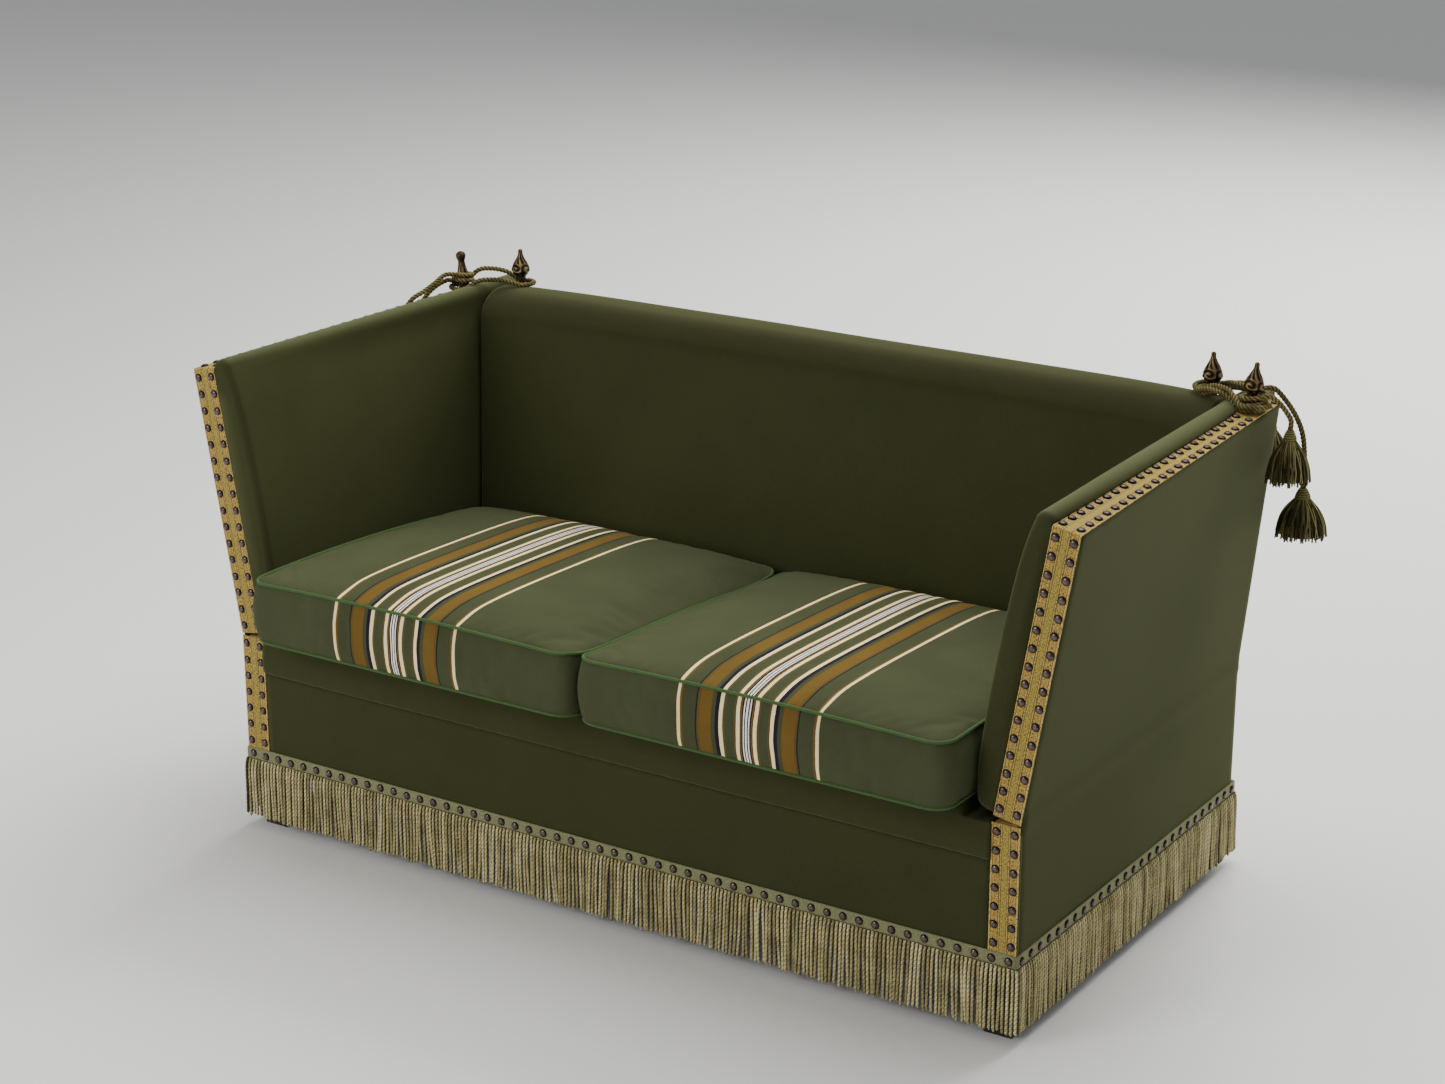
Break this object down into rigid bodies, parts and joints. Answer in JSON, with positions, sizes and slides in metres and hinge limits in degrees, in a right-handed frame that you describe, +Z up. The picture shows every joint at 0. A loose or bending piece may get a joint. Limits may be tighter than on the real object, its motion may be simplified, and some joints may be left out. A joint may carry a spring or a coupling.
{
  "type": "drop arm sofa",
  "caption": "Sofa with high drop arms hinged at the seat, tied to the back by tasselled cords, loose striped seat cushions and a floor-length fringe.",
  "frame": {"origin": "on the floor under the centre of the bounding box (cords and tassels left out)", "axes": "+Z up, +X to the right seen from the front along the sofa's length, -Y out of the front of the seat"},
  "size_m": [1.7966, 0.9586, 0.9137],
  "materials": {
    "olive_wool": "dark olive woollen cloth, napped, matt",
    "cushion_wool": "dark sage woollen cloth with woven cream, mustard and navy stripes, green piping",
    "gold_braid": "ochre-gold woven braid with dark bronze domed nails",
    "bronze": "aged bronze, worn on its relief",
    "bullion": "khaki twisted bullion under a sage tape",
    "cord": "olive and brown twisted cord with cut tassels",
    "beech": "sawn beech",
    "dark_wood": "dark stained, satin",
    "jute": "natural jute webbing",
    "black_cloth": "black bottom cloth",
    "spring_steel": "bare spring steel",
    "hinge_steel": "plain steel"
  },
  "bodies": {
    "root": {"base_cover": "olive_wool", "outside_back": "olive_wool", "back_pad": "olive_wool", "seat_deck": "olive_wool", "seat_front_lip": "olive_wool", "base_braid_left": "gold_braid", "base_braid_right": "gold_braid", "back_finial_left": "bronze", "back_finial_right": "bronze", "bullion_fringe": "bullion", "cord_loop_left": "cord", "cord_loop_right": "cord", "seat_end_rail_left": "beech", "seat_end_rail_right": "beech", "seat_front_rail": "beech", "seat_back_rail": "beech", "seat_centre_rail": "beech", "back_post_left": "beech", "back_post_right": "beech", "back_top_rail": "beech", "back_tacking_rail": "beech", "foot_front_left": "dark_wood", "foot_front_right": "dark_wood", "foot_back_left": "dark_wood", "foot_back_right": "dark_wood", "seat_webbing": "jute", "bottom_cloth": "black_cloth", "seat_springs": "spring_steel", "base_hinge_leaf_left": "hinge_steel", "base_hinge_leaf_right": "hinge_steel", "hinge_pin_left": "hinge_steel", "hinge_pin_right": "hinge_steel"},
    "arm_left": {"arm_left_cover": "olive_wool", "arm_left_pad": "olive_wool", "arm_left_braid": "gold_braid", "arm_finial_left": "bronze", "cord_tail_left": "cord", "tassel_upper_left": "cord", "tassel_lower_left": "cord", "arm_left_bottom_rail": "beech", "arm_left_top_rail": "beech", "arm_left_front_stile": "beech", "arm_left_back_stile": "beech", "arm_hinge_leaf_left": "hinge_steel"},
    "arm_right": {"arm_right_cover": "olive_wool", "arm_right_pad": "olive_wool", "arm_right_braid": "gold_braid", "arm_finial_right": "bronze", "cord_tail_right": "cord", "tassel_upper_right": "cord", "tassel_lower_right": "cord", "cord_rear_right": "cord", "tassel_rear_right": "cord", "arm_right_bottom_rail": "beech", "arm_right_top_rail": "beech", "arm_right_front_stile": "beech", "arm_right_back_stile": "beech", "arm_hinge_leaf_right": "hinge_steel"},
    "cushion_left": {"seat_cushion_left": "cushion_wool"},
    "cushion_right": {"seat_cushion_right": "cushion_wool"}
  },
  "joints": [
    {"name": "arm_left_drop", "type": "hinge", "parent": "root", "child": "arm_left", "pos_m": [-0.758, 0.03485, 0.361], "axis": [0, -1, 0], "range_deg": [0, 80], "deforming": ["cord_loop_left"]},
    {"name": "arm_right_drop", "type": "hinge", "parent": "root", "child": "arm_right", "pos_m": [0.758, 0.03485, 0.361], "axis": [0, 1, 0], "range_deg": [0, 80], "deforming": ["cord_loop_right"]},
    {"name": "seat_cushion_left_lift", "type": "slide", "parent": "root", "child": "cushion_left", "axis": [0, 0, 1], "range_m": [0, 0.25]},
    {"name": "seat_cushion_right_lift", "type": "slide", "parent": "root", "child": "cushion_right", "axis": [0, 0, 1], "range_m": [0, 0.25]}
  ]
}
